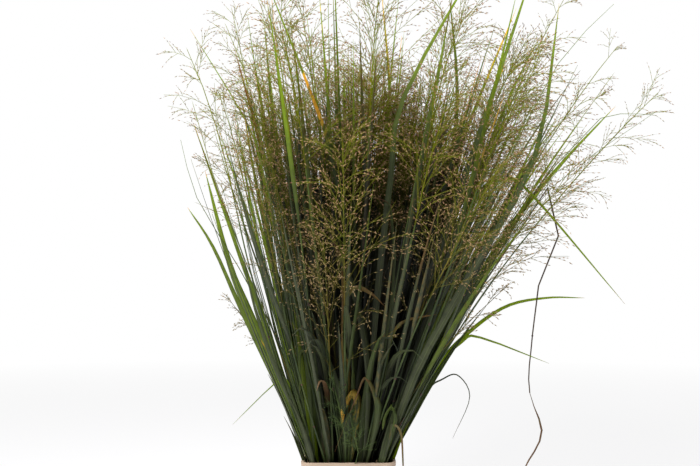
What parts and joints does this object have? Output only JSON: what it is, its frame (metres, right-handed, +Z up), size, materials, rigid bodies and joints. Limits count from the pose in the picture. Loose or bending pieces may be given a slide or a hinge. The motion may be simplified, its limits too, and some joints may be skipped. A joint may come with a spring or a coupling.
{
  "type": "potted switchgrass",
  "caption": "Tall fanned clump of switchgrass with upright leaf blades and airy seed heads, growing in compost in a square tapered pot.",
  "frame": {"origin": "middle of the pot's underside, which stands on the ground", "axes": "+Z up along the clump, -Y towards the front of the clump, +X towards its right side, where the dead culm hangs"},
  "size_m": [0.828, 0.7087, 1.0324],
  "materials": {
    "pot": "matte",
    "compost": "crumbly",
    "leaf": "satin",
    "panicle": "dry",
    "dry_culm": "dry"
  },
  "bodies": {
    "root": {"pot": "pot", "compost": "compost", "tuft_01": "leaf", "tuft_02": "leaf", "tuft_03": "leaf", "tuft_04": "leaf", "tuft_05": "leaf", "tuft_06": "leaf", "tuft_07": "leaf", "tuft_08": "leaf", "tuft_09": "leaf", "tuft_10": "leaf", "tuft_11": "leaf", "tuft_12": "leaf", "tuft_13": "leaf", "tuft_14": "leaf", "tuft_15": "leaf", "tuft_16": "leaf", "tuft_17": "leaf", "tuft_18": "leaf", "tuft_19": "leaf", "tuft_20": "leaf", "panicle_01": "panicle", "panicle_02": "panicle", "panicle_03": "panicle", "panicle_04": "panicle", "panicle_05": "panicle", "panicle_06": "panicle", "panicle_07": "panicle", "panicle_08": "panicle", "panicle_09": "panicle", "panicle_10": "panicle", "panicle_11": "panicle", "panicle_12": "panicle", "panicle_13": "panicle", "panicle_14": "panicle", "panicle_15": "panicle", "panicle_16": "panicle", "panicle_17": "panicle", "panicle_18": "panicle", "panicle_19": "panicle", "panicle_20": "panicle", "panicle_21": "panicle", "panicle_22": "panicle", "panicle_23": "panicle", "panicle_24": "panicle", "panicle_25": "panicle", "panicle_26": "panicle", "panicle_27": "panicle", "panicle_28": "panicle", "panicle_29": "panicle", "panicle_30": "panicle", "panicle_31": "panicle", "panicle_32": "panicle", "panicle_33": "panicle", "panicle_34": "panicle", "panicle_35": "panicle", "panicle_36": "panicle", "dry_culm": "dry_culm"}
  },
  "joints": []
}
